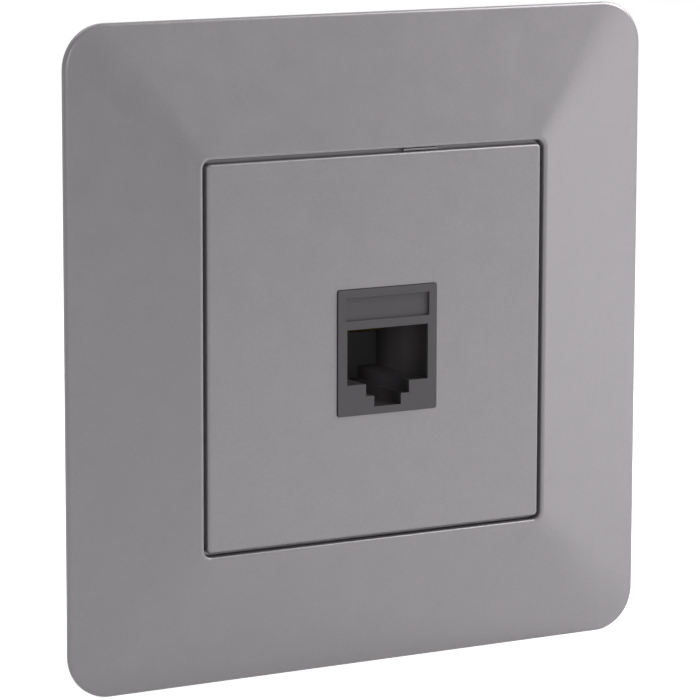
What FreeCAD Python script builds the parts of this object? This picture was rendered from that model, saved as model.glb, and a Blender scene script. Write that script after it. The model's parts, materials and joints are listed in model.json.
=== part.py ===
import FreeCAD, Part
import math
import os

# Flush wall socket with one network port, in millimetres.
# X runs to the right seen from the front, Y into the wall and Z up.
# The origin is the middle of the wall plane, so the front of the socket is at negative Y.

# Cover frame: four sloping faces that rise from a thin rim to a square opening
cover_overhang = 6.5
cover_corner_radius = 5.6
cover_front = 5.3
cover_rim_height = 1.7
cover_rim_band = 0.8
cover_rim_draft = 0.9
cover_rim_wall = 1.6
cover_rim_round = 0.5
cover_rim_slack = 0.05
cover_wall = 1.5
cover_land = 0.55
cover_edge_round = 0.4
cover_opening_wall = 1.5
cover_rib = 1.0
cover_rib_spacing = 30.0

# How far the cones and wedges that form its corners reach past them, in lengths of a corner
corner_reach = 3.0

# Centre plate, level with the edge of the opening
plate_size = 48.9
plate_corner_radius = 0.6
plate_gap = 0.45
plate_thickness = 1.8
plate_skirt = 1.3
plate_edge_round = 0.45
plate_step = 1.2
plate_play = 0.1
lug_x = 6.5
lug_width = 5.0
lug_thickness = 0.2
lug_depth = 0.4

# Snap arms that hold the cover frame and the centre plate on the support plate
snap_width = 4.4
snap_thickness = 1.2
snap_barb = 0.6
snap_reach = 1.7
snap_play = 0.1
snap_window_gap = 0.3
cover_snap_offset = 8.5
plate_snap_offset = 15.5

# Support plate, stamped steel
support_size = 71.0
support_corner_radius = 5.0
support_thickness = 1.2
support_opening_radius = 1.5
support_notch = 1.5
box_screw_spacing = 60.0
box_slot_width = 3.8
box_slot_length = 7.0

# Jack: front housing with the port
jack_x = 1.4
jack_z = -0.61
jack_proud = 0.2
jack_width = 14.55
jack_height = 16.1
jack_edge_round = 0.25
window_gap = 0.08
port_depth = 13.0
port_width = 11.9
port_top = 2.93
port_floor = -4.17
port_step_width = 6.38
port_step_floor = -5.75
port_notch_width = 3.95
port_notch_floor = -7.16
label_width = 12.3
label_bottom = 4.03
label_top = 7.03
label_depth = 0.35
rear_wall = 0.8

# Latch and hook of the jack in the panel of its holder
latch_width = 8.0
latch_thickness = 1.0
latch_slit = 0.9
latch_length = 9.0
latch_root = 1.4
latch_nub = 0.6
latch_ramp = 1.8
latch_grip = 0.75
latch_play = 0.05
latch_room = 0.5
hook_width = 9.0
hook_height = 1.5
hook_length = 2.4
panel_thickness = 1.2
panel_gap = 0.2

# Holder behind the support plate
holder_gap = 0.2
holder_wall = 1.4
holder_back = 8.0
flange_thickness = 2.0
flange_width = 47.0
flange_height = 38.0
flange_radius = 7.0
clip_width = 6.0
clip_thickness = 1.2
clip_grip = 0.7
clip_height = 0.9
clip_room = 0.3

# Claws, their screws and nuts, on the left and right
claw_screw_x = 18.5
claw_screw_radius = 1.75
claw_screw_length = 24.2
claw_head_radius = 3.0
claw_head_height = 1.6
claw_head_chamfer = 0.5
claw_cross_width = 0.9
claw_cross_depth = 0.8
claw_hole_gap = 0.2
claw_angle = 25.0
claw_travel = 7.2
claw_sheet = 1.2
claw_rear = 18.0
claw_tip_gap = 0.3
claw_bend = 0.6
claw_base_end = 7.2
claw_bend_offset = 3.5
claw_arm_width = 13.2
claw_tip_length = 2.2
claw_tip_angle = 60.0
claw_tooth_depth = 1.5
claw_teeth = 3
claw_lip = 1.5
claw_lip_thickness = 0.9
claw_slot_gap = 0.25
nut_width = 6.4
nut_thickness = 2.4
nut_gap = 0.15
thread_gap = 0.05
guide_gap = 0.15
guide_thickness = 1.6
guide_front = 4.0
guide_back = 14.0
guide_tip = 3.2

# Port contacts and their comb
contact_count = 8
contact_pitch = 1.016
contact_width = 0.46
contact_thickness = 0.35
contact_bend = 0.5
contact_bend_steps = 5
contact_slope = 18.0
contact_length = 6.8
contact_gap = 0.05
comb_width = 9.8
comb_height = 2.1
comb_roof = 1.0
comb_set_back = 3.0
comb_lip = 0.3
comb_gap = 0.1

# Circuit board
board_size = 12.8
board_thickness = 1.6
board_gap = 0.1

# Terminal block with a row of wire forks above and one below
terminal_width = 14.4
terminal_height = 15.2
terminal_depth = 14.0
spigot_depth = 1.0
fork_rows = 4
fork_pitch = 3.2
fork_width = 2.2
fork_thickness = 0.5
fork_slot = 0.36
fork_slot_depth = 2.7
fork_below = 0.3
fork_set_back = 6.75
pin_height = 1.4
pin_size = 0.6
groove_width = 1.5
groove_depth = 2.4
groove_set_back = 2.6
tail_width = 6.0
tail_thickness = 3.0
tail_length = 5.0
tail_waist = 1.2

# Hinged wire covers over the two rows
hinge_set_back = 1.9
hinge_rise = 1.3
hinge_radius = 1.2
hinge_pin_radius = 0.7
hinge_pin_gap = 0.05
hinge_ear = 1.1
hinge_ear_margin = 0.6
hinge_side_gap = 0.15
lid_thickness = 1.6
lid_gap = 0.15
lid_behind_ear = 0.3
lid_neck_thickness = 1.6
lid_overhang = 0.4
presser_width = 1.1
presser_depth = 1.4
presser_margin = 1.2
presser_fork_room = 1.2

# Depths worked out from the values above
plate_front = -cover_front
plate_back = plate_front + plate_thickness
support_front = -support_thickness
panel_front = plate_back + latch_nub + panel_gap
panel_back = panel_front + panel_thickness
jack_face = plate_front - jack_proud
port_back = jack_face + port_depth
board_front = port_back + rear_wall
board_back = board_front + board_thickness
nose_back = board_back + spigot_depth
comb_front = jack_face + comb_set_back
fork_front = nose_back + fork_set_back
terminal_back = nose_back + terminal_depth

# Outlines worked out from the values above
cover_size = support_size + 2 * cover_overhang
opening_size = plate_size + 2 * plate_gap
opening_radius = plate_corner_radius + plate_gap
opening_wall_size = opening_size + 2 * cover_opening_wall
land_size = opening_size + 2 * cover_land
skirt_size = opening_size - 2 * plate_play
aperture_width = jack_width + 2 * holder_gap
aperture_height = jack_height + 2 * holder_gap
tunnel_half_width = aperture_width / 2 + holder_wall
latch_bottom = jack_height / 2 + latch_slit
latch_top = latch_bottom + latch_thickness
latch_peak = latch_top + latch_grip
tunnel_roof = latch_peak + latch_room
tunnel_floor = -(jack_height / 2 + hook_height + holder_gap)
support_opening_width = 2 * (abs(jack_x) + tunnel_half_width + clip_room)
support_opening_height = 2 * (abs(jack_z) + tunnel_roof + holder_wall + 2 * clip_room + clip_thickness)
claw_spread = claw_travel * math.tan(math.radians(claw_angle))
claw_base_width = nut_width + 2 * nut_gap + 2 * claw_lip_thickness


def box(x0, x1, y0, y1, z0, z1):
    """Block between two values on each axis."""
    return Part.makeBox(x1 - x0, y1 - y0, z1 - z0, FreeCAD.Vector(x0, y0, z0))


def point_on(axis, a, b, level):
    """Point from two values in the plane across an axis and its level along that axis."""
    if axis == "x":
        return FreeCAD.Vector(level, a, b)
    if axis == "y":
        return FreeCAD.Vector(a, level, b)
    return FreeCAD.Vector(a, b, level)


def prism(axis, outline, low, high):
    """Straight-sided outline carried along an axis from low to high."""
    points = [point_on(axis, a, b, low) for a, b in outline]
    wire = Part.makePolygon(points + points[:1])
    return Part.Face(wire).extrude(point_on(axis, 0, 0, high - low))


def rod(axis, radius, low, high, a, b):
    """Round bar along an axis from low to high."""
    return Part.makeCylinder(radius, high - low, point_on(axis, a, b, low), point_on(axis, 0, 0, 1))


def rounded_edges(width, height, radius, y, x=0.0, z=0.0):
    """Arcs and lines in turn round a rectangle with round corners at depth y."""
    half_width = width / 2 - radius
    half_height = height / 2 - radius
    corners = ((1, 1, 0), (-1, 1, 90), (-1, -1, 180), (1, -1, 270))
    arcs = []
    for side, level, start in corners:
        ends = []
        for turn in (0, 45, 90):
            angle = math.radians(start + turn)
            along = x + side * half_width + radius * math.cos(angle)
            up = z + level * half_height + radius * math.sin(angle)
            ends.append(FreeCAD.Vector(along, y, up))
        arcs.append(ends)
    edges = []
    for index, ends in enumerate(arcs):
        edges.append(Part.Arc(*ends).toShape())
        edges.append(Part.makeLine(ends[2], arcs[(index + 1) % 4][0]))
    return edges


def slab(width, height, radius, y0, y1, x=0.0, z=0.0):
    """Plate with round corners between two depths."""
    face = Part.Face(Part.Wire(rounded_edges(width, height, radius, y0, x, z)))
    return face.extrude(FreeCAD.Vector(0, y1 - y0, 0))


def long_hole(length, width, y0, y1, x, z):
    """Slot with round ends, level where it is longer than it is wide and upright otherwise."""
    reach = abs(length - width) / 2
    radius = min(length, width) / 2
    level = length > width
    ends = []
    for side in (-1, 1):
        offset = side * reach
        ends.append(rod("y", radius, y0, y1, x + (offset if level else 0), z + (0 if level else offset)))
    half_x = reach if level else radius
    half_z = radius if level else reach
    return joined(box(x - half_x, x + half_x, y0, y1, z - half_z, z + half_z), ends)


def sloping_block(small, small_radius, small_y, large, large_radius, large_y):
    """Block with four flat slopes between two squares and a cone that runs smoothly into them at each corner."""
    near = small / 2
    far = large / 2
    share = small_radius / (large_radius - small_radius)
    tip = near - share * (far - near)
    tip_y = small_y - share * (large_y - small_y)
    ray = FreeCAD.Vector(far - tip, large_y - tip_y, far - large_radius - tip)
    normal = FreeCAD.Vector((small_y - large_y) / (far - near), 1, 0)
    axis = ray - normal * ((ray.x - ray.z) / normal.x)
    length = corner_reach * ray.Length
    cone = Part.makeCone(0, length * math.tan(axis.getAngle(ray)), length, FreeCAD.Vector(tip, tip_y, tip), axis)

    low, high = sorted((small_y, large_y))
    front, back = (near, far) if small_y < large_y else (far, near)
    block = Part.makeWedge(-front, low, -front, -back, -back, front, high, front, back, back)
    along = corner_reach * ray.x
    across = corner_reach * ray.z
    wedge = prism("y", ((tip, tip), (tip + along, tip + across), (tip + across, tip + along)), low, high)
    corners = round_the_square(wedge.common(cone))
    return joined(block.cut(round_the_square(wedge)), corners)


def strip_outline(path, thickness):
    """Outline of a strip of even thickness whose middle follows a path."""
    half = thickness / 2
    left = []
    right = []
    for index, (a, b) in enumerate(path):
        before = path[max(index - 1, 0)]
        after = path[min(index + 1, len(path) - 1)]
        into = math.atan2(b - before[1], a - before[0]) if index else None
        out = math.atan2(after[1] - b, after[0] - a) if index < len(path) - 1 else into
        into = out if into is None else into
        half_turn = math.remainder(out - into, 2 * math.pi) / 2
        normal = into + half_turn + math.pi / 2
        reach = half / math.cos(half_turn)
        left.append((a + reach * math.cos(normal), b + reach * math.sin(normal)))
        right.append((a - reach * math.cos(normal), b - reach * math.sin(normal)))
    return left + right[::-1]


def joined(first, others):
    """One solid from pieces that meet."""
    return first.fuse(list(others)).removeSplitter()


def flip_sideways(shape):
    """The same shape on the other side of the middle plane, left for right."""
    return shape.mirror(FreeCAD.Vector(0, 0, 0), FreeCAD.Vector(1, 0, 0))


def flip_over(shape):
    """The same shape upside down."""
    return shape.mirror(FreeCAD.Vector(0, 0, 0), FreeCAD.Vector(0, 0, 1))


def four_ways(shape):
    """A shape and its copies mirrored left for right, upside down and both."""
    beside = flip_sideways(shape)
    return [shape, beside, flip_over(shape), flip_over(beside)]


def round_the_square(shape):
    """A shape and its copies a quarter turn apart, one on each side of the square."""
    copies = []
    for quarter in range(4):
        copy = shape.copy()
        copy.rotate(FreeCAD.Vector(0, 0, 0), FreeCAD.Vector(0, 1, 0), 90 * quarter)
        copies.append(copy)
    return copies


def in_jack(shape):
    """A shape drawn about the jack's own middle, moved to where the jack sits."""
    return shape.translated(FreeCAD.Vector(jack_x, 0, jack_z))


def edges_at(shape, y, half_limit, slack=1e-4):
    """Edges that lie at one depth within a slack, no further than a limit from the middle."""
    picked = []
    for edge in shape.Edges:
        bounds = edge.BoundBox
        flat = abs(bounds.YMin - y) < slack and abs(bounds.YMax - y) < slack
        reach = max(abs(bounds.XMin), abs(bounds.XMax), abs(bounds.ZMin), abs(bounds.ZMax))
        if flat and reach < half_limit:
            picked.append(edge)
    return picked


def upright_edges(shape, corners):
    """Edges along Z that stand on any of the given corners."""
    picked = []
    for edge in shape.Edges:
        low, high = edge.Vertexes[0].Point, edge.Vertexes[-1].Point
        for x, y in corners:
            corner = FreeCAD.Vector(x, y, low.z)
            if low.isEqual(corner, 1e-4) and high.isEqual(FreeCAD.Vector(x, y, high.z), 1e-4):
                picked.append(edge)
    return picked


def snap_arm(outer_z, root_y, offset):
    """Arm through the support plate with a barb behind it, on the upper side."""
    x0 = offset - snap_width / 2
    outline = (
        (root_y, outer_z - snap_thickness),
        (snap_reach, outer_z - snap_thickness),
        (snap_reach, outer_z),
        (snap_play, outer_z + snap_barb),
        (snap_play, outer_z),
        (root_y, outer_z),
    )
    return prism("x", outline, x0, x0 + snap_width)


def snap_window(outer_z, offset):
    """Hole in the support plate that a snap arm flexes through, on the upper side."""
    x0 = offset - snap_width / 2 - snap_window_gap
    x1 = offset + snap_width / 2 + snap_window_gap
    z0 = outer_z - snap_thickness - snap_barb - snap_window_gap
    return box(x0, x1, support_front, 0, z0, outer_z + snap_play)


def cover_snap_z():
    """Outer face of the cover frame's snap arms."""
    return opening_wall_size / 2


def plate_snap_z():
    """Outer face of the centre plate's snap arms."""
    return plate_size / 2 - plate_corner_radius


def cover_frame():
    """One moulding: sloping faces, rim, wall round the opening, ribs and snap arms."""
    rim_y = -cover_rim_height
    band_y = rim_y + cover_rim_band
    foot_size = cover_size - 2 * cover_rim_draft
    foot_radius = cover_corner_radius - cover_rim_draft
    outline = slab(cover_size, cover_size, cover_corner_radius, plate_front, band_y)
    slopes = sloping_block(land_size, opening_radius + cover_land, plate_front,
                           cover_size, cover_corner_radius, rim_y)
    band = slab(cover_size, cover_size, cover_corner_radius, rim_y, band_y)
    foot = sloping_block(foot_size, foot_radius, 0, cover_size, cover_corner_radius, band_y)
    body = joined(slopes.common(outline), [band, foot])
    body = body.makeFillet(cover_rim_round, edges_at(body, rim_y, cover_size, cover_rim_slack))

    slope = (cover_front - cover_rim_height) / (cover_size / 2 - land_size / 2)
    inner_size = foot_size - 2 * cover_rim_wall
    inner_radius = foot_radius - cover_rim_wall
    outer_depth = rim_y - slope * (cover_size - inner_size) / 2 + cover_wall
    inner_depth = rim_y - slope * (cover_size - opening_wall_size) / 2 + cover_wall
    wall_radius = opening_radius + cover_opening_wall
    hollow = slab(inner_size, inner_size, inner_radius, outer_depth, 0)
    roof = sloping_block(opening_wall_size, wall_radius, inner_depth, inner_size, inner_radius, outer_depth)
    roof = roof.common(slab(inner_size, inner_size, inner_radius, inner_depth, outer_depth))
    wall = slab(opening_wall_size, opening_wall_size, wall_radius, plate_front, support_front)
    hollow = hollow.fuse(roof).cut(wall)

    extras = round_the_square(snap_arm(cover_snap_z(), plate_front + cover_wall, cover_snap_offset))
    for middle in (-cover_rib_spacing / 2, cover_rib_spacing / 2):
        rib = box(middle - cover_rib / 2, middle + cover_rib / 2, plate_front, support_front,
                  opening_wall_size / 2 - cover_opening_wall / 2, support_size / 2)
        extras += round_the_square(rib.common(body))
    frame = joined(body.cut(hollow), extras)
    frame = frame.cut(slab(opening_size, opening_size, opening_radius, plate_front, 0))
    lip = edges_at(frame, plate_front, opening_size / 2 + cover_land / 2)
    return frame.makeFillet(cover_edge_round, lip)


def centre_plate():
    """One moulding: front plate with the jack window, wider skirt, prying lug and snap arms."""
    plate = slab(plate_size, plate_size, plate_corner_radius, plate_front, plate_back)
    plate = plate.makeFillet(plate_edge_round, edges_at(plate, plate_front, plate_size))
    step_y = plate_front + plate_step
    skirt = slab(skirt_size, skirt_size, opening_radius - plate_play, step_y, support_front)
    hollow_size = plate_size - 2 * plate_skirt
    skirt = skirt.cut(box(-hollow_size / 2, hollow_size / 2, plate_back, support_front,
                          -hollow_size / 2, hollow_size / 2))
    arms = four_ways(snap_arm(plate_snap_z(), plate_back - plate_thickness / 2, plate_snap_offset))
    window = slab(jack_width + 2 * window_gap, jack_height + 2 * window_gap, jack_edge_round + window_gap,
                  plate_front, plate_back)
    lug = box(lug_x - lug_width / 2, lug_x + lug_width / 2, plate_front + lug_depth, step_y,
              skirt_size / 2 - lug_thickness, skirt_size / 2)
    return joined(plate, [skirt, lug] + arms).cut(in_jack(window))


def support_plate():
    """Stamped steel plate with slots for box screws, holes for claw screws and snap windows."""
    plate = slab(support_size, support_size, support_corner_radius, support_front, 0)
    cuts = [slab(support_opening_width, support_opening_height, support_opening_radius, support_front, 0)]
    for side in (-1, 1):
        middle = side * box_screw_spacing / 2
        cuts.append(long_hole(box_slot_length, box_slot_width, support_front, 0, middle, 0))
        cuts.append(long_hole(box_slot_width, box_slot_length, support_front, 0, 0, middle))
        cuts.append(rod("y", claw_screw_radius + claw_hole_gap, support_front, 0, side * claw_screw_x, 0))
        edge = side * support_size / 2
        tip = edge - side * support_notch
        cuts.append(prism("y", ((edge, -support_notch), (edge, support_notch), (tip, 0)), support_front, 0))
        cuts.append(prism("y", ((-support_notch, edge), (support_notch, edge), (0, tip)), support_front, 0))
    cuts += round_the_square(snap_window(cover_snap_z(), cover_snap_offset))
    cuts += four_ways(snap_window(plate_snap_z(), plate_snap_offset))
    return plate.cut(cuts)


def guide_line(y):
    """How far out the inner face of a claw's arm lies at a depth, on the right."""
    corner = claw_screw_x + claw_bend_offset
    return corner + (claw_rear - y) * math.tan(math.radians(claw_angle))


def jack_holder():
    """One moulding: flange, tunnel and panel for the jack, clips and the claws' guide ribs."""
    flange = slab(flange_width, flange_height, flange_radius, 0, flange_thickness)
    roof = tunnel_roof + holder_wall
    floor = tunnel_floor - holder_wall
    tunnel = in_jack(box(-tunnel_half_width, tunnel_half_width, panel_front, holder_back, floor, roof))
    ribs = []
    rib_z = claw_base_width / 2 + guide_gap
    outline = (
        (tunnel_half_width - abs(jack_x), flange_thickness),
        (flange_width / 2, flange_thickness),
        (guide_line(guide_front) - guide_gap, guide_front),
        (guide_line(guide_back) - guide_gap, guide_back),
        (guide_line(guide_back) - guide_gap - guide_tip, guide_back),
        (tunnel_half_width + abs(jack_x) + guide_thickness, holder_back),
        (tunnel_half_width - abs(jack_x), holder_back),
    )
    ribs += four_ways(prism("z", outline, rib_z, rib_z + guide_thickness))
    clip_z = support_opening_height / 2 - clip_room / 2
    clip = (
        (flange_thickness / 2, clip_z - clip_thickness),
        (support_front - clip_height, clip_z - clip_thickness),
        (support_front - clip_height, clip_z),
        (support_front, clip_z + clip_room / 2 + clip_grip),
        (support_front, clip_z),
        (flange_thickness / 2, clip_z),
    )
    straight_end = support_opening_width / 2 - support_opening_radius
    clips = four_ways(prism("x", clip, straight_end - clip_width, straight_end))
    holder = joined(flange, [tunnel] + ribs + clips)

    half = aperture_width / 2
    hollow = box(-half, half, panel_back, holder_back, tunnel_floor, tunnel_roof)
    aperture = box(-half, half, panel_front, panel_back, -aperture_height / 2, aperture_height / 2)
    notch_half = latch_width / 2 + holder_gap
    notch = box(-notch_half, notch_half, panel_front, panel_back, 0, latch_top + latch_play)
    cuts = [in_jack(hollow), in_jack(aperture), in_jack(notch)]
    for side in (-1, 1):
        hole_radius = claw_screw_radius + 2 * claw_hole_gap
        hole = rod("y", hole_radius, 0, flange_thickness, side * claw_screw_x, 0)
        cuts.append(hole)
    return holder.cut(cuts)


def claw_screw():
    """Pan-head screw with a cross slot, on the right."""
    head = rod("y", claw_head_radius, support_front - claw_head_height, support_front, claw_screw_x, 0)
    rim = edges_at(head, support_front - claw_head_height, claw_screw_x * 2)
    head = head.makeChamfer(claw_head_chamfer, rim)
    shank = rod("y", claw_screw_radius, support_front, support_front + claw_screw_length, claw_screw_x, 0)
    reach = claw_head_radius - claw_head_chamfer
    half = claw_cross_width / 2
    y0 = support_front - claw_head_height
    y1 = y0 + claw_cross_depth
    across = box(claw_screw_x - reach, claw_screw_x + reach, y0, y1, -half, half)
    upright = box(claw_screw_x - half, claw_screw_x + half, y0, y1, -reach, reach)
    return head.fuse(shank).cut([across, upright])


def claw_nut():
    """Square nut in the channel of a claw, on the right."""
    half = nut_width / 2
    block = box(claw_screw_x - half, claw_screw_x + half, claw_rear, claw_rear + nut_thickness, -half, half)
    bore = rod("y", claw_screw_radius + thread_gap, claw_rear, claw_rear + nut_thickness, claw_screw_x, 0)
    return block.cut(bore)


def claw():
    """Bent steel strip with a slotted base, an arm along the guide ribs and a toothed tip, on the right."""
    slant = math.radians(claw_angle)
    tip_slant = math.radians(claw_tip_angle)
    half_sheet = claw_sheet / 2
    half_arm = claw_arm_width / 2
    half_base = claw_base_width / 2
    beside = half_sheet / math.cos(slant)
    base_x = claw_screw_x - claw_base_end
    base_y = claw_rear - half_sheet
    end_y = claw_travel + claw_tip_gap + half_sheet * math.sin(tip_slant)
    front_y = end_y + claw_tip_length * math.cos(tip_slant)
    front_x = guide_line(front_y) + beside
    end_x = front_x + claw_tip_length * math.sin(tip_slant)
    path = ((base_x, base_y), (guide_line(base_y) + beside, base_y), (front_x, front_y), (end_x, end_y))
    outline = strip_outline(path, claw_sheet)
    left = outline[:len(path)]
    right = outline[:len(path) - 1:-1]
    strip = prism("z", outline, -half_arm, half_arm)
    strip = strip.makeFillet(claw_bend, upright_edges(strip, (right[1], left[2])))
    strip = strip.makeFillet(claw_bend + claw_sheet, upright_edges(strip, (left[1], right[2])))
    bend_x = guide_line(claw_rear - claw_sheet)

    lips = []
    cuts = []
    for z0, z1 in ((half_base - claw_lip_thickness, half_base), (-half_base, claw_lip_thickness - half_base)):
        lips.append(box(base_x, guide_line(claw_rear), claw_rear - claw_sheet, claw_rear + claw_lip, z0, z1))
    for z0, z1 in ((half_base, half_arm), (-half_arm, -half_base)):
        cuts.append(box(base_x, bend_x, claw_rear - claw_sheet - claw_bend, claw_rear, z0, z1))

    reach = claw_screw_radius + claw_slot_gap
    slot_x = claw_screw_x - claw_spread / 2
    cuts.append(long_hole(claw_spread + 2 * reach, 2 * reach, claw_rear - claw_sheet, claw_rear, slot_x, 0))
    tooth_pitch = claw_arm_width / claw_teeth
    for gap in range(claw_teeth + 1):
        middle = gap * tooth_pitch - half_arm
        outline = (
            (end_x + claw_sheet, middle - tooth_pitch / 2),
            (end_x + claw_sheet, middle + tooth_pitch / 2),
            (end_x - claw_tooth_depth, middle),
        )
        cuts.append(prism("y", outline, 0, front_y))
    return joined(strip, lips).cut(cuts)


def contact_x(index):
    """Place of a port contact across the jack."""
    return (index - (contact_count - 1) / 2) * contact_pitch


def contact_roof():
    """Top of the grooves in the comb, which the contacts lie against."""
    return port_top + comb_height - comb_roof


def jack_housing():
    """One moulding: port, label recess, latch, hook and the seats of the comb, board and terminal block."""
    half_width = jack_width / 2
    half_height = jack_height / 2
    nose = slab(jack_width, jack_height, jack_edge_round, jack_face, nose_back)
    hook = box(-hook_width / 2, hook_width / 2, panel_back, panel_back + hook_length,
               -half_height - hook_height, -half_height)
    arm_front = panel_front - latch_play - latch_nub
    arm_back = panel_back + latch_length
    catch = (
        (arm_front, latch_bottom),
        (arm_back - latch_root, latch_bottom),
        (arm_back - latch_root, half_height - jack_edge_round),
        (arm_back, half_height - jack_edge_round),
        (arm_back, latch_bottom),
        (arm_back - latch_root, latch_top),
        (panel_back + latch_ramp, latch_top),
        (panel_back + latch_play, latch_peak),
        (panel_back + latch_play, latch_top),
        (panel_front - latch_play, latch_top),
        (panel_front - latch_play, latch_peak),
        (arm_front, latch_peak),
    )
    latch = prism("x", catch, -latch_width / 2, latch_width / 2)
    body = joined(nose, [hook, latch])

    side = port_width / 2
    step = port_step_width / 2
    notch = port_notch_width / 2
    right_half = (
        (side, port_top),
        (side, port_floor),
        (step, port_floor),
        (step, port_step_floor),
        (notch, port_step_floor),
        (notch, port_notch_floor),
    )
    left_half = tuple((-x, z) for x, z in reversed(right_half))
    port = prism("y", right_half + left_half, jack_face, port_back)
    label = box(-label_width / 2, label_width / 2, jack_face, jack_face + label_depth, label_bottom, label_top)
    pocket_half = comb_width / 2 + comb_gap
    pocket = box(-pocket_half, pocket_half, comb_front, nose_back, port_top, port_top + comb_height)
    seat_half = board_size / 2 + board_gap
    seat = box(-seat_half, seat_half, board_front, nose_back, -seat_half, seat_half)
    return body.cut([port, label, pocket, seat])


def contact_comb():
    """Moulded comb that forms the port's ceiling and parts the contacts."""
    comb = box(-comb_width / 2, comb_width / 2, comb_front, board_front, port_top, port_top + comb_height)
    half = contact_width / 2 + contact_gap
    grooves = []
    for index in range(contact_count):
        middle = contact_x(index)
        grooves.append(box(middle - half, middle + half, comb_front + comb_lip, board_front,
                           port_top, contact_roof()))
    return comb.cut(grooves)


def contact(index):
    """Spring contact: a straight run to the board, a hairpin at the front and a sloping blade."""
    run_z = contact_roof() - contact_thickness / 2
    bend_y = comb_front + comb_lip + contact_gap + contact_bend + contact_thickness / 2
    path = [(board_back, run_z)]
    for step in range(contact_bend_steps + 1):
        heading = math.radians(90 + step * (180 - contact_slope) / contact_bend_steps)
        path.append((bend_y + contact_bend * math.cos(heading),
                     run_z - contact_bend + contact_bend * math.sin(heading)))
    slope = math.radians(contact_slope)
    last_y, last_z = path[-1]
    path.append((last_y + contact_length * math.cos(slope), last_z - contact_length * math.sin(slope)))
    x0 = contact_x(index) - contact_width / 2
    return prism("x", strip_outline(path, contact_thickness), x0, x0 + contact_width)


def fork_x(index):
    """Place of a wire fork across the terminal block."""
    return (index - (fork_rows - 1) / 2) * fork_pitch


def wire_fork(index):
    """Forked blade that cuts into a wire, with a pin to the board, in the upper row."""
    middle = fork_x(index)
    top = terminal_height / 2 - fork_below
    back = fork_front + fork_thickness
    blade = box(middle - fork_width / 2, middle + fork_width / 2, fork_front, back, pin_height, top)
    pin = box(middle - pin_size / 2, middle + pin_size / 2, board_front, fork_front,
              pin_height, pin_height + pin_size)
    mouth = fork_width / 2 - fork_slot
    bottom = top - fork_slot_depth
    slot = (
        (middle - fork_slot / 2, bottom),
        (middle + fork_slot / 2, bottom),
        (middle + fork_slot / 2, top - mouth),
        (middle + mouth, top),
        (middle - mouth, top),
        (middle - fork_slot / 2, top - mouth),
    )
    return joined(blade, [pin]).cut(prism("y", slot, fork_front, back))


def circuit_board():
    """Board with a square hole for every contact and fork pin."""
    half = board_size / 2
    board = box(-half, half, board_front, board_back, -half, half)
    holes = []
    for index in range(contact_count):
        middle = contact_x(index)
        holes.append(box(middle - contact_width / 2, middle + contact_width / 2, board_front, board_back,
                         contact_roof() - contact_thickness, contact_roof()))
    for index in range(fork_rows):
        middle = fork_x(index)
        hole = box(middle - pin_size / 2, middle + pin_size / 2, board_front, board_back,
                   pin_height, pin_height + pin_size)
        holes += [hole, flip_over(hole)]
    return board.cut(holes)


def hinge_y():
    """Depth of the wire covers' hinge line."""
    return nose_back + hinge_set_back


def hinge_z():
    """Height of the upper wire cover's hinge line above the jack's middle."""
    return terminal_height / 2 + hinge_rise


def ear_radius():
    """Round end of the ears that carry a wire cover."""
    return hinge_pin_radius + hinge_ear_margin


def terminal_block():
    """Moulded block with wire grooves above and below, hinge ears and a tail for a cable tie."""
    half_width = terminal_width / 2
    half_height = terminal_height / 2
    body = box(-half_width, half_width, nose_back, terminal_back, -half_height, half_height)
    spigot_half = board_size / 2
    spigot = box(-spigot_half, spigot_half, board_back, nose_back, -spigot_half, spigot_half)
    tail = box(-tail_width / 2, tail_width / 2, terminal_back, terminal_back + tail_length,
               -tail_thickness / 2, tail_thickness / 2)
    ears = []
    bores = []
    for x0 in (-half_width, half_width - hinge_ear):
        x1 = x0 + hinge_ear
        foot = box(x0, x1, hinge_y() - ear_radius(), hinge_y() + ear_radius(), half_height, hinge_z())
        ear = foot.fuse(rod("x", ear_radius(), x0, x1, hinge_y(), hinge_z()))
        bore = rod("x", hinge_pin_radius + hinge_pin_gap, x0, x1, hinge_y(), hinge_z())
        ears += [ear, flip_over(ear)]
        bores += [bore, flip_over(bore)]
    block = joined(body, [spigot, tail] + ears).cut(bores)

    cuts = []
    for index in range(fork_rows):
        middle = fork_x(index)
        groove = box(middle - groove_width / 2, middle + groove_width / 2, nose_back + groove_set_back,
                     terminal_back, half_height - groove_depth, half_height)
        cuts += [groove, flip_over(groove), fork_pocket(index), flip_over(fork_pocket(index))]
    waist_y = terminal_back + tail_length / 2
    for side in (-1, 1):
        edge = side * tail_width / 2
        deep = edge - side * tail_waist
        outline = ((edge, waist_y - tail_waist), (edge, waist_y + tail_waist), (deep, waist_y))
        cuts.append(prism("z", outline, -tail_thickness / 2, tail_thickness / 2))
    return block.cut(cuts)


def fork_pocket(index):
    """Seat of a wire fork and its pin, open upwards and towards the board, in the upper row."""
    middle = fork_x(index)
    back = fork_front + fork_thickness
    seat = box(middle - fork_width / 2, middle + fork_width / 2, fork_front, back,
               pin_height, terminal_height / 2)
    channel = box(middle - pin_size / 2, middle + pin_size / 2, board_back, fork_front,
                  pin_height, pin_height + pin_size)
    return seat.fuse(channel)


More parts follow.
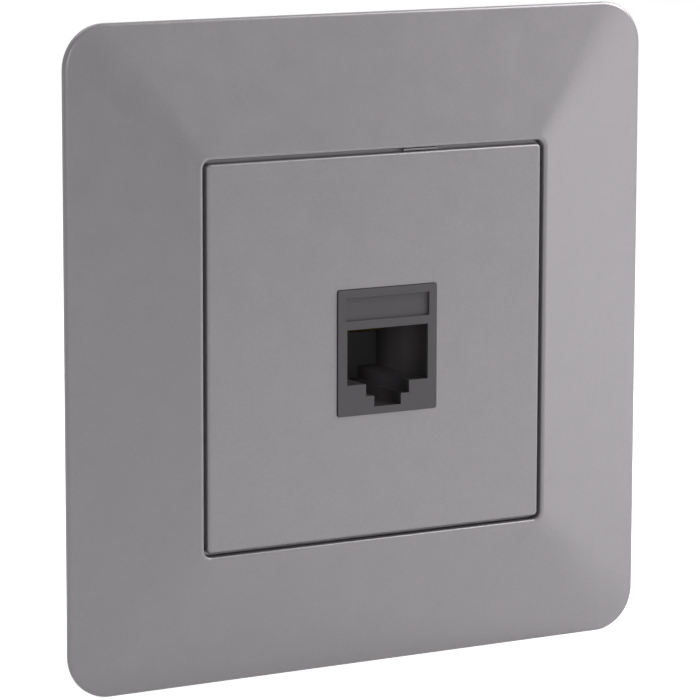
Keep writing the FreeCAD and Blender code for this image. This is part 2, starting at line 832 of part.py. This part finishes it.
def wire_cover():
    """Hinged cover over the upper row, with pressers that push the wires into the forks."""
    pin_reach = terminal_width / 2
    inner = terminal_width / 2 - hinge_ear - hinge_side_gap
    knuckle = rod("x", hinge_radius, -inner, inner, hinge_y(), hinge_z())
    pin = rod("x", hinge_pin_radius, -pin_reach, pin_reach, hinge_y(), hinge_z())
    bottom = terminal_height / 2 + lid_gap
    front = hinge_y() + ear_radius() + lid_behind_ear
    back = terminal_back + lid_overhang
    lid = box(-pin_reach, pin_reach, front, back, bottom, bottom + lid_thickness)
    neck = box(-inner, inner, hinge_y(), front, hinge_z() - lid_neck_thickness / 2,
               hinge_z() + lid_neck_thickness / 2)
    pressers = []
    fork_back = fork_front + fork_thickness
    spans = ((front + presser_margin / 2, fork_front - presser_fork_room),
             (fork_back + presser_fork_room / 2, terminal_back - presser_margin))
    for index in range(fork_rows):
        middle = fork_x(index)
        for y0, y1 in spans:
            pressers.append(box(middle - presser_width / 2, middle + presser_width / 2, y0, y1,
                                bottom - presser_depth, bottom))
    return joined(lid, [knuckle, pin, neck] + pressers)


def build():
    """Every piece by its name."""
    pieces = {
        "cover_frame": cover_frame(),
        "centre_plate": centre_plate(),
        "support_plate": support_plate(),
        "jack_holder": jack_holder(),
        "jack_housing": in_jack(jack_housing()),
        "contact_comb": in_jack(contact_comb()),
        "circuit_board": in_jack(circuit_board()),
        "terminal_block": in_jack(terminal_block()),
        "upper_wire_cover": in_jack(wire_cover()),
        "lower_wire_cover": in_jack(flip_over(wire_cover())),
    }
    for name, make in (("claw", claw), ("claw_screw", claw_screw), ("claw_nut", claw_nut)):
        pieces["right_" + name] = make()
        pieces["left_" + name] = flip_sideways(make())
    for index in range(contact_count):
        pieces[f"contact_{index + 1}"] = in_jack(contact(index))
    for index in range(fork_rows):
        pieces[f"upper_wire_fork_{index + 1}"] = in_jack(wire_fork(index))
        pieces[f"lower_wire_fork_{index + 1}"] = in_jack(flip_over(wire_fork(index)))
    return pieces


os.makedirs("parts", exist_ok=True)
for name, shape in build().items():
    shape.exportStep(f"parts/{name}.step")
    print(name, "solids", len(shape.Solids), "valid", shape.isValid(), "volume", round(shape.Volume, 2))
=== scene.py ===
import json
import math

import bmesh
import bpy
from mathutils import Matrix, Vector


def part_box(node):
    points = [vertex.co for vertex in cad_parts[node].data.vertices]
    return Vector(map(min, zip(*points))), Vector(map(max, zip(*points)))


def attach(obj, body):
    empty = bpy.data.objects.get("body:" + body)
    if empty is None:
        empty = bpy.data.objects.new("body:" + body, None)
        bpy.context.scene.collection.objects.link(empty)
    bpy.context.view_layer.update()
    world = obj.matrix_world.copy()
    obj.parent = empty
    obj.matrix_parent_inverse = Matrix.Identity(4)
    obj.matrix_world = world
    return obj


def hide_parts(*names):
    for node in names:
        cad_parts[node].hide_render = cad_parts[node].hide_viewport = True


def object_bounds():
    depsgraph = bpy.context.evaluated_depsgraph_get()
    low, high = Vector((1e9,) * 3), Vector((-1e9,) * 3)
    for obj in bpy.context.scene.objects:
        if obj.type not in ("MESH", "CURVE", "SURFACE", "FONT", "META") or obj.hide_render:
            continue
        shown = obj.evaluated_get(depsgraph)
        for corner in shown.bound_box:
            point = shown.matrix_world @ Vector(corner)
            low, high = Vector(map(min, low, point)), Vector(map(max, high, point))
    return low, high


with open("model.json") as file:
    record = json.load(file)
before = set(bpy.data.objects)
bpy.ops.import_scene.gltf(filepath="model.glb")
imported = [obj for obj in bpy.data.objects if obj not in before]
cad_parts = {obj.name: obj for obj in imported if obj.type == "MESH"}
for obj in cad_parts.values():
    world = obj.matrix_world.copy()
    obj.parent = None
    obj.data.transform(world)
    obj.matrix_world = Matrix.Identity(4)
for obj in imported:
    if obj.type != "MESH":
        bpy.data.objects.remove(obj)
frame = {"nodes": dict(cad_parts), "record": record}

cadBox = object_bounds()
nodes = frame["nodes"]
print("frame loaded with", len(nodes), "nodes")

# lengths are in metres and angles in degrees

scene = bpy.context.scene
scene.view_settings.view_transform = "Standard"


# small helpers for node trees

mixSockets = {"first": 6, "second": 7, "result": 2}  # the colour sockets of the mix node


def mathNode(tree, operation, first, second):
    node = tree.nodes.new("ShaderNodeMath")
    node.operation = operation
    for index, value in enumerate((first, second)):
        if isinstance(value, (int, float)):
            node.inputs[index].default_value = value
        else:
            tree.links.new(value, node.inputs[index])
    return node.outputs[0]


def mixColour(tree, factor, first, second):
    node = tree.nodes.new("ShaderNodeMix")
    node.data_type = "RGBA"
    tree.links.new(factor, node.inputs["Factor"])
    for index, value in ((mixSockets["first"], first), (mixSockets["second"], second)):
        if isinstance(value, tuple):
            node.inputs[index].default_value = (*value, 1)
        else:
            tree.links.new(value, node.inputs[index])
    return node.outputs[mixSockets["result"]]


def rampNode(tree, value, start, end):
    node = tree.nodes.new("ShaderNodeMapRange")
    node.interpolation_type = "SMOOTHSTEP"
    node.inputs["From Min"].default_value = start
    node.inputs["From Max"].default_value = end
    tree.links.new(value, node.inputs["Value"])
    return node.outputs["Result"]


def splitVector(tree, vector):
    node = tree.nodes.new("ShaderNodeSeparateXYZ")
    tree.links.new(vector, node.inputs[0])
    return node.outputs


def noiseNode(tree, vector, scale, detail):
    node = tree.nodes.new("ShaderNodeTexNoise")
    node.inputs["Detail"].default_value = detail
    tree.links.new(vector, node.inputs["Vector"])
    tree.links.new(scale, node.inputs["Scale"])
    return node.outputs["Fac"]


def seenRays(tree):
    # rays that show the background itself, straight, mirrored or through glass
    path = tree.nodes.new("ShaderNodeLightPath")
    seen = mathNode(tree, "MAXIMUM", path.outputs["Is Camera Ray"], path.outputs["Is Glossy Ray"])
    return mathNode(tree, "MAXIMUM", seen, path.outputs["Is Transmission Ray"])


# shared surface effects

def startGroup(name, colours, values):
    group = bpy.data.node_groups.new(name, "ShaderNodeTree")
    sockets = [(key, "INPUT", "NodeSocketColor") for key in colours]
    sockets += [(key, "INPUT", "NodeSocketFloat") for key in values]
    sockets += [("Colour", "OUTPUT", "NodeSocketColor"), ("Roughness", "OUTPUT", "NodeSocketFloat"),
                ("Height", "OUTPUT", "NodeSocketFloat")]
    for key, direction, kind in sockets:
        group.interface.new_socket(name=key, in_out=direction, socket_type=kind)
    given = group.nodes.new("NodeGroupInput").outputs
    result = group.nodes.new("NodeGroupOutput").inputs
    place = group.nodes.new("ShaderNodeTexCoord").outputs["Object"]
    return group, given, result, place


grain = {"speckDetail": 2.0, "cloudDetail": 3.0, "noiseMiddle": 0.5}


def makeGrainGroup():
    # speckle and cloud on one colour, with a matching roughness and height
    group, given, result, place = startGroup("surfaceGrain", ("Colour",), (
        "Speck Scale", "Speck Amount", "Cloud Scale", "Cloud Amount", "Roughness", "Roughness Amount"))
    speckNoise = noiseNode(group, place, given["Speck Scale"], grain["speckDetail"])
    cloudNoise = noiseNode(group, place, given["Cloud Scale"], grain["cloudDetail"])
    speck = mathNode(group, "SUBTRACT", speckNoise, grain["noiseMiddle"])
    cloud = mathNode(group, "SUBTRACT", cloudNoise, grain["noiseMiddle"])
    speckPart = mathNode(group, "MULTIPLY", speck, given["Speck Amount"])
    cloudPart = mathNode(group, "MULTIPLY", cloud, given["Cloud Amount"])
    shade = mathNode(group, "ADD", mathNode(group, "ADD", speckPart, cloudPart), 1.0)
    tint = group.nodes.new("ShaderNodeVectorMath")
    tint.operation = "SCALE"
    group.links.new(given["Colour"], tint.inputs[0])
    group.links.new(shade, tint.inputs["Scale"])
    group.links.new(tint.outputs[0], result["Colour"])
    both = mathNode(group, "ADD", speck, cloud)
    offset = mathNode(group, "MULTIPLY", both, given["Roughness Amount"])
    group.links.new(mathNode(group, "ADD", offset, given["Roughness"]), result["Roughness"])
    group.links.new(speck, result["Height"])
    return group


plating = {"cellShare": 0.25, "lineShare": 0.45, "cloudShare": 0.3, "blendMiddle": 0.5,
           "lineStretch": (0.04, 1.0, 1.0), "lineDetail": 3.0, "cloudDetail": 2.0}


def makePlateGroup():
    # crystal cells, cloud and fine drawing lines of plated sheet steel
    group, given, result, place = startGroup("platedSheet", ("Light", "Dark"), (
        "Cell Scale", "Line Scale", "Roughness", "Roughness Amount"))
    cells = group.nodes.new("ShaderNodeTexVoronoi")
    group.links.new(place, cells.inputs["Vector"])
    group.links.new(given["Cell Scale"], cells.inputs["Scale"])
    cellShade = group.nodes.new("ShaderNodeSeparateColor")
    group.links.new(cells.outputs["Color"], cellShade.inputs[0])
    stretch = group.nodes.new("ShaderNodeMapping")
    stretch.inputs["Scale"].default_value = plating["lineStretch"]
    group.links.new(place, stretch.inputs["Vector"])
    lines = noiseNode(group, stretch.outputs[0], given["Line Scale"], plating["lineDetail"])
    cloud = noiseNode(group, place, given["Cell Scale"], plating["cloudDetail"])
    cellPart = mathNode(group, "MULTIPLY", cellShade.outputs["Red"], plating["cellShare"])
    linePart = mathNode(group, "MULTIPLY", lines, plating["lineShare"])
    cloudPart = mathNode(group, "MULTIPLY", cloud, plating["cloudShare"])
    blend = mathNode(group, "ADD", cellPart, mathNode(group, "ADD", linePart, cloudPart))
    group.links.new(mixColour(group, blend, given["Dark"], given["Light"]), result["Colour"])
    change = mathNode(group, "SUBTRACT", blend, plating["blendMiddle"])
    offset = mathNode(group, "MULTIPLY", change, given["Roughness Amount"])
    group.links.new(mathNode(group, "ADD", offset, given["Roughness"]), result["Roughness"])
    group.links.new(lines, result["Height"])
    return group


grainGroup = makeGrainGroup()
plateGroup = makePlateGroup()


def startMaterial(name, group, values, bumpDistance, bumpStrength):
    material = bpy.data.materials.new(name)
    material.use_nodes = True
    tree = material.node_tree
    shader = tree.nodes["Principled BSDF"]
    effect = tree.nodes.new("ShaderNodeGroup")
    effect.node_tree = group
    for key, value in values.items():
        effect.inputs[key].default_value = value
    bump = tree.nodes.new("ShaderNodeBump")
    bump.inputs["Strength"].default_value = bumpStrength
    bump.inputs["Distance"].default_value = bumpDistance
    tree.links.new(effect.outputs["Colour"], shader.inputs["Base Color"])
    tree.links.new(effect.outputs["Roughness"], shader.inputs["Roughness"])
    tree.links.new(effect.outputs["Height"], bump.inputs["Height"])
    tree.links.new(bump.outputs["Normal"], shader.inputs["Normal"])
    return material, shader


mouldedLook = {"speckScale": 3500.0, "speckAmount": 0.12, "cloudScale": 260.0, "cloudAmount": 0.06,
               "roughness": 0.5, "roughnessAmount": 0.12, "bump": 0.25, "bumpDistance": 0.00004}


def moulded(name, colour, **changes):
    look = {**mouldedLook, **changes}
    values = {"Colour": (*colour, 1), "Speck Scale": look["speckScale"], "Speck Amount": look["speckAmount"],
              "Cloud Scale": look["cloudScale"], "Cloud Amount": look["cloudAmount"],
              "Roughness": look["roughness"], "Roughness Amount": look["roughnessAmount"]}
    return startMaterial(name, grainGroup, values, look["bumpDistance"], look["bump"])


platedLook = {"cellScale": 420.0, "lineScale": 3000.0, "roughness": 0.34, "roughnessAmount": 0.22,
              "bump": 0.25, "bumpDistance": 0.00002}


def plated(name, light, dark, **changes):
    look = {**platedLook, **changes}
    values = {"Light": (*light, 1), "Dark": (*dark, 1), "Cell Scale": look["cellScale"],
              "Line Scale": look["lineScale"], "Roughness": look["roughness"],
              "Roughness Amount": look["roughnessAmount"]}
    material, shader = startMaterial(name, plateGroup, values, look["bumpDistance"], look["bump"])
    shader.inputs["Metallic"].default_value = 1.0
    return material


# finishes

lacquer = {"colour": (0.240, 0.227, 0.240), "roughness": 0.33, "metallic": 0.35, "speckScale": 5200.0,
           "speckAmount": 0.22, "cloudAmount": 0.10, "bump": 0.12, "bareColour": (0.30, 0.295, 0.30),
           "bareRoughness": 0.14, "bareStart": 0.2, "bareEnd": 0.6}  # bareRoughness is added to roughness


def makeLacquer():
    # sprayed from the front, so faces that look into the wall stay bare plastic
    material, shader = moulded("metallicLacquer", lacquer["colour"], roughness=lacquer["roughness"],
                               speckScale=lacquer["speckScale"], speckAmount=lacquer["speckAmount"],
                               cloudAmount=lacquer["cloudAmount"], bump=lacquer["bump"])
    tree = material.node_tree
    facing = splitVector(tree, tree.nodes.new("ShaderNodeNewGeometry").outputs["Normal"])["Y"]
    bare = rampNode(tree, facing, lacquer["bareStart"], lacquer["bareEnd"])
    painted = shader.inputs["Base Color"].links[0].from_socket
    tree.links.new(mixColour(tree, bare, painted, lacquer["bareColour"]), shader.inputs["Base Color"])
    smooth = shader.inputs["Roughness"].links[0].from_socket
    rougher = mathNode(tree, "MULTIPLY", bare, lacquer["bareRoughness"])
    tree.links.new(mathNode(tree, "ADD", smooth, rougher), shader.inputs["Roughness"])
    flakes = mathNode(tree, "MULTIPLY", mathNode(tree, "SUBTRACT", 1.0, bare), lacquer["metallic"])
    tree.links.new(flakes, shader.inputs["Metallic"])
    return material


# the port's middle, width and height, and then how far in each painted shade and painted light begins and
# ends
# the first port colour is painted shade, darker than the plain moulding, and the second is painted light,
# paler than it
jackLookAndPaintedShade = {"colour": (0.0465, 0.0427, 0.0465), "mouth": (0.020, 0.0184, 0.020),
             "paintedInside": (0.125, 0.115, 0.127), "roughness": 0.55,
             "middle": 0.0014, "halfWidth": 0.0062, "low": -0.0081, "high": 0.0027,
             "front": -0.0053, "edge": -0.0050, "deep": 0.0010, "backStart": 0.0035, "backEnd": 0.0075}


def makeJackPlasticWithPaintedShade():
    # painted shade and light: the port is painted darker near its opening as shade, paler halfway in as
    # light, and plain again at its back
    material, shader = moulded("jackPlasticPaintedShade", jackLookAndPaintedShade["colour"], roughness=jackLookAndPaintedShade["roughness"])
    tree = material.node_tree
    place = splitVector(tree, tree.nodes.new("ShaderNodeTexCoord").outputs["Object"])
    sideways = mathNode(tree, "SUBTRACT", place["X"], jackLookAndPaintedShade["middle"])
    sideways = mathNode(tree, "ABSOLUTE", sideways, 0.0)
    paintedInside = mathNode(tree, "LESS_THAN", sideways, jackLookAndPaintedShade["halfWidth"])
    for mask in (mathNode(tree, "GREATER_THAN", place["Z"], jackLookAndPaintedShade["low"]),
                 mathNode(tree, "LESS_THAN", place["Z"], jackLookAndPaintedShade["high"]),
                 rampNode(tree, place["Y"], jackLookAndPaintedShade["front"], jackLookAndPaintedShade["edge"])):
        paintedInside = mathNode(tree, "MULTIPLY", paintedInside, mask)
    face = shader.inputs["Base Color"].links[0].from_socket
    depth = rampNode(tree, place["Y"], jackLookAndPaintedShade["edge"], jackLookAndPaintedShade["deep"])
    # painted shade near the port's opening, blending into painted light further in
    wall = mixColour(tree, depth, jackLookAndPaintedShade["mouth"], jackLookAndPaintedShade["paintedInside"])
    backward = rampNode(tree, place["Y"], jackLookAndPaintedShade["backStart"], jackLookAndPaintedShade["backEnd"])
    wall = mixColour(tree, backward, wall, face)
    tree.links.new(mixColour(tree, paintedInside, face, wall), shader.inputs["Base Color"])
    return material


solderMask = {"colour": (0.02, 0.13, 0.05), "speckScale": 2600.0, "roughness": 0.28, "bump": 0.1,
              "coatWeight": 0.4, "coatRoughness": 0.15}


def makeSolderMask():
    material, shader = moulded("solderMask", solderMask["colour"], speckScale=solderMask["speckScale"],
                               roughness=solderMask["roughness"], bump=solderMask["bump"])
    shader.inputs["Coat Weight"].default_value = solderMask["coatWeight"]
    shader.inputs["Coat Roughness"].default_value = solderMask["coatRoughness"]
    return material


smallCells = 900.0  # finer crystals on small parts

finishes = {
    "frame_paint": makeLacquer(),
    "jack_plastic": makeJackPlasticWithPaintedShade(),
    "comb_plastic": moulded("combPlastic", (0.045, 0.044, 0.046), roughness=0.6)[0],
    "terminal_plastic": moulded("terminalPlastic", (0.085, 0.083, 0.088), roughness=0.52)[0],
    "lid_plastic": moulded("lidPlastic", (0.17, 0.168, 0.175))[0],
    "holder_plastic": moulded("holderPlastic", (0.56, 0.55, 0.53), roughness=0.48)[0],
    "board": makeSolderMask(),
    "zinc_steel": plated("zincSheet", (0.54, 0.55, 0.55), (0.32, 0.33, 0.33)),
    "claw_steel": plated("clawSteel", (0.52, 0.51, 0.46), (0.34, 0.33, 0.29), roughness=0.38),
    "screw_steel": plated("screwSteel", (0.58, 0.58, 0.57), (0.40, 0.40, 0.39), roughness=0.28,
                          cellScale=smallCells),
    "contact_gold": plated("contactGold", (0.74, 0.55, 0.24), (0.60, 0.42, 0.16), roughness=0.3,
                           cellScale=smallCells),
    "fork_tin": plated("forkTin", (0.72, 0.70, 0.66), (0.56, 0.54, 0.50), roughness=0.32,
                       cellScale=smallCells),
}

for subpart in frame["record"]["subparts"]:
    piece = nodes[subpart["node"]]
    piece.data.materials.clear()
    piece.data.materials.append(finishes[subpart["material_slot"]])
print("finishes set on", len(nodes), "nodes")


# claw screws with a cut thread, in place of the plain ones

clawScrew = {"core": 0.00142, "crest": 0.00173, "pitch": 0.0006, "sectionPoints": 20, "stepsPerTurn": 12,
             "rootShare": 0.25, "crestShare": 0.2, "tipLength": 0.0008, "tipNarrowing": 0.3, "neck": 0.0003,
             "headRadius": 0.003, "headHeight": 0.0016, "headRound": 0.0005, "headPoints": 20,
             "roundSegments": 3, "crossCell": 0.00068, "crossCells": 5, "crossDepth": 0.0008,
             "sharpAngle": 32}


def openEdges(bm):
    return [edge for edge in bm.edges if edge.is_boundary]


def onlyVerts(geom):
    return [item for item in geom if isinstance(item, bmesh.types.BMVert)]


def threadRadius(share):
    # root, flank, crest and flank again round one turn of the section
    height = 1 - abs(2 * share - 1)
    flank = 1 - clawScrew["rootShare"] - clawScrew["crestShare"]
    rise = min(max((height - clawScrew["rootShare"]) / flank, 0), 1)
    return clawScrew["core"] + (clawScrew["crest"] - clawScrew["core"]) * rise


def addThread(bm, low, high):
    upright = Matrix.Rotation(math.radians(90), 4, "X")
    ring = bmesh.ops.create_circle(bm, segments=clawScrew["sectionPoints"], radius=1.0,
                                   matrix=upright)["verts"]
    for vert in ring:
        vert.co *= threadRadius(math.atan2(vert.co.x, vert.co.z) / math.tau % 1.0)
        vert.co.y = low
    edges = list(bm.edges)
    turns = (high - low) / clawScrew["pitch"]
    steps = round(turns * clawScrew["stepsPerTurn"])
    bmesh.ops.spin(bm, geom=ring + edges, cent=(0, 0, 0), axis=(0, 1, 0), dvec=(0, (high - low) / steps, 0),
                   angle=math.tau * turns, steps=steps, use_merge=False)
    bmesh.ops.holes_fill(bm, edges=openEdges(bm), sides=0)
    tipStart = high - clawScrew["tipLength"]
    for vert in bm.verts:
        past = max(vert.co.y - tipStart, 0) / clawScrew["tipLength"]
        vert.co.x *= 1 - clawScrew["tipNarrowing"] * past
        vert.co.z *= 1 - clawScrew["tipNarrowing"] * past


def addHead(bm, top, seat):
    # a grid with its cross sunk, joined to a round rim that goes down to the seat
    upright = Matrix.Translation((0, top, 0)) @ Matrix.Rotation(math.radians(90), 4, "X")
    cell, cells = clawScrew["crossCell"], clawScrew["crossCells"]
    bmesh.ops.create_grid(bm, x_segments=cells, y_segments=cells, size=cell * cells / 2, matrix=upright)
    cross = [face for face in bm.faces
             if min(abs(face.calc_center_median().x), abs(face.calc_center_median().z)) < cell / 2]
    sunk = bmesh.ops.extrude_face_region(bm, geom=cross)["geom"]
    bmesh.ops.delete(bm, geom=cross, context="FACES")
    bmesh.ops.translate(bm, verts=onlyVerts(sunk), vec=(0, clawScrew["crossDepth"], 0))
    inner = openEdges(bm)
    circle = bmesh.ops.create_circle(bm, segments=clawScrew["headPoints"], radius=clawScrew["headRadius"],
                                     matrix=upright)["verts"]
    rim = [edge for edge in bm.edges if edge.verts[0] in circle]
    bmesh.ops.bridge_loops(bm, edges=inner + rim)
    side = bmesh.ops.extrude_edge_only(bm, edges=rim)["geom"]
    bmesh.ops.translate(bm, verts=onlyVerts(side), vec=(0, seat - top, 0))
    bmesh.ops.holes_fill(bm, edges=openEdges(bm), sides=0)
    bmesh.ops.bevel(bm, geom=rim, offset=clawScrew["headRound"], affect="EDGES",
                    segments=clawScrew["roundSegments"], profile=0.5, material=-1)


def makeScrewMesh(top, tip):
    seat = top + clawScrew["headHeight"]
    bm = bmesh.new()
    addThread(bm, seat - clawScrew["neck"], tip)
    mesh = bpy.data.meshes.new("clawScrew")
    bm.to_mesh(mesh)
    bm.clear()
    addHead(bm, top, seat)
    bm.from_mesh(mesh)
    bmesh.ops.recalc_face_normals(bm, faces=bm.faces)
    bm.to_mesh(mesh)
    bm.free()
    mesh.polygons.foreach_set("use_smooth", [True] * len(mesh.polygons))
    mesh.set_sharp_from_angle(angle=math.radians(clawScrew["sharpAngle"]))
    mesh.materials.append(finishes["screw_steel"])
    return mesh


screwLow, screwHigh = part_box("left_claw_screw")
screwMesh = makeScrewMesh(screwLow[1], screwHigh[1])
for side in ("left", "right"):
    low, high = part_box(side + "_claw_screw")
    mesh = screwMesh.copy()
    mesh.transform(Matrix.Translation(((low[0] + high[0]) / 2, 0, (low[2] + high[2]) / 2)))
    piece = bpy.data.objects.new(side + "ClawScrew", mesh)
    scene.collection.objects.link(piece)
    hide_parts(side + "_claw_screw")
    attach(piece, side + "_claw_screw")
print("claw screws threaded")


# floor, light and camera

floorLook = {"width": 6.0, "colour": (0.86, 0.86, 0.86), "roughness": 0.9, "glow": 0.8}


def makeFloor():
    mesh = bpy.data.meshes.new("paleFloor")
    floor = bpy.data.objects.new("paleFloor", mesh)
    scene.collection.objects.link(floor)
    bm = bmesh.new()
    bmesh.ops.create_grid(bm, x_segments=1, y_segments=1, size=floorLook["width"] / 2)
    bmesh.ops.translate(bm, verts=bm.verts, vec=(0, 0, cadBox[0][2]))
    bm.to_mesh(mesh)
    bm.free()
    material = bpy.data.materials.new("paleFloorPaint")
    material.use_nodes = True
    tree = material.node_tree
    shader = tree.nodes["Principled BSDF"]
    shader.inputs["Base Color"].default_value = (*floorLook["colour"], 1)
    shader.inputs["Roughness"].default_value = floorLook["roughness"]
    shader.inputs["Specular IOR Level"].default_value = 0.0
    shader.inputs["Emission Color"].default_value = (1, 1, 1, 1)
    glow = mathNode(tree, "MULTIPLY", seenRays(tree), floorLook["glow"])
    tree.links.new(glow, shader.inputs["Emission Strength"])
    mesh.materials.append(material)


skyLevel = 0.15  # what the sky gives as light, while it looks white itself


def makeSky():
    world = bpy.data.worlds.new("paleRoom")
    scene.world = world
    world.use_nodes = True
    tree = world.node_tree
    background = tree.nodes["Background"]
    background.inputs["Color"].default_value = (1, 1, 1, 1)
    level = mathNode(tree, "ADD", mathNode(tree, "MULTIPLY", seenRays(tree), 1 - skyLevel), skyLevel)
    tree.links.new(level, background.inputs["Strength"])


# azimuth 0 is straight in front and 90 is to the right
lamps = {
    "keyPanel": {"azimuth": 78, "elevation": 41, "distance": 0.34, "size": 0.2, "power": 1.3},
    "lowPanel": {"azimuth": 55, "elevation": 4, "distance": 0.34, "size": 0.2, "power": 0.18},
    "frontPanel": {"azimuth": -32, "elevation": 15, "distance": 1.1, "size": 0.55, "power": 2.0},
    "backPanel": {"azimuth": 190, "elevation": 58, "distance": 1.2, "size": 0.9, "power": 2.5},
}


def makeLamps():
    for name, lamp in lamps.items():
        turn, rise = math.radians(lamp["azimuth"]), math.radians(lamp["elevation"])
        away = Vector((math.sin(turn) * math.cos(rise), -math.cos(turn) * math.cos(rise), math.sin(rise)))
        data = bpy.data.lights.new(name, "AREA")
        data.size = lamp["size"]
        data.energy = lamp["power"]
        light = bpy.data.objects.new(name, data)
        scene.collection.objects.link(light)
        light.location = away * lamp["distance"]
        light.rotation_euler = away.to_track_quat("Z", "Y").to_euler()


view = {"place": (-0.25498, -0.43464, 0.0812), "yaw": 30.305, "pitch": -9.299, "roll": 0.136,
        "lens": 205.26, "sensor": 36.0, "near": 0.01, "far": 20.0}


def makeCamera():
    data = bpy.data.cameras.new("photoCamera")
    data.lens = view["lens"]
    data.sensor_width = view["sensor"]
    data.clip_start = view["near"]
    data.clip_end = view["far"]
    camera = bpy.data.objects.new("photoCamera", data)
    scene.collection.objects.link(camera)
    turn = Matrix.Rotation(math.radians(-view["yaw"]), 4, "Z")
    tilt = Matrix.Rotation(math.radians(90 + view["pitch"]), 4, "X")
    roll = Matrix.Rotation(math.radians(view["roll"]), 4, "Z")
    camera.matrix_world = Matrix.Translation(view["place"]) @ turn @ tilt @ roll
    scene.camera = camera


makeFloor()
makeSky()
makeLamps()
makeCamera()
print("floor, light and camera set")
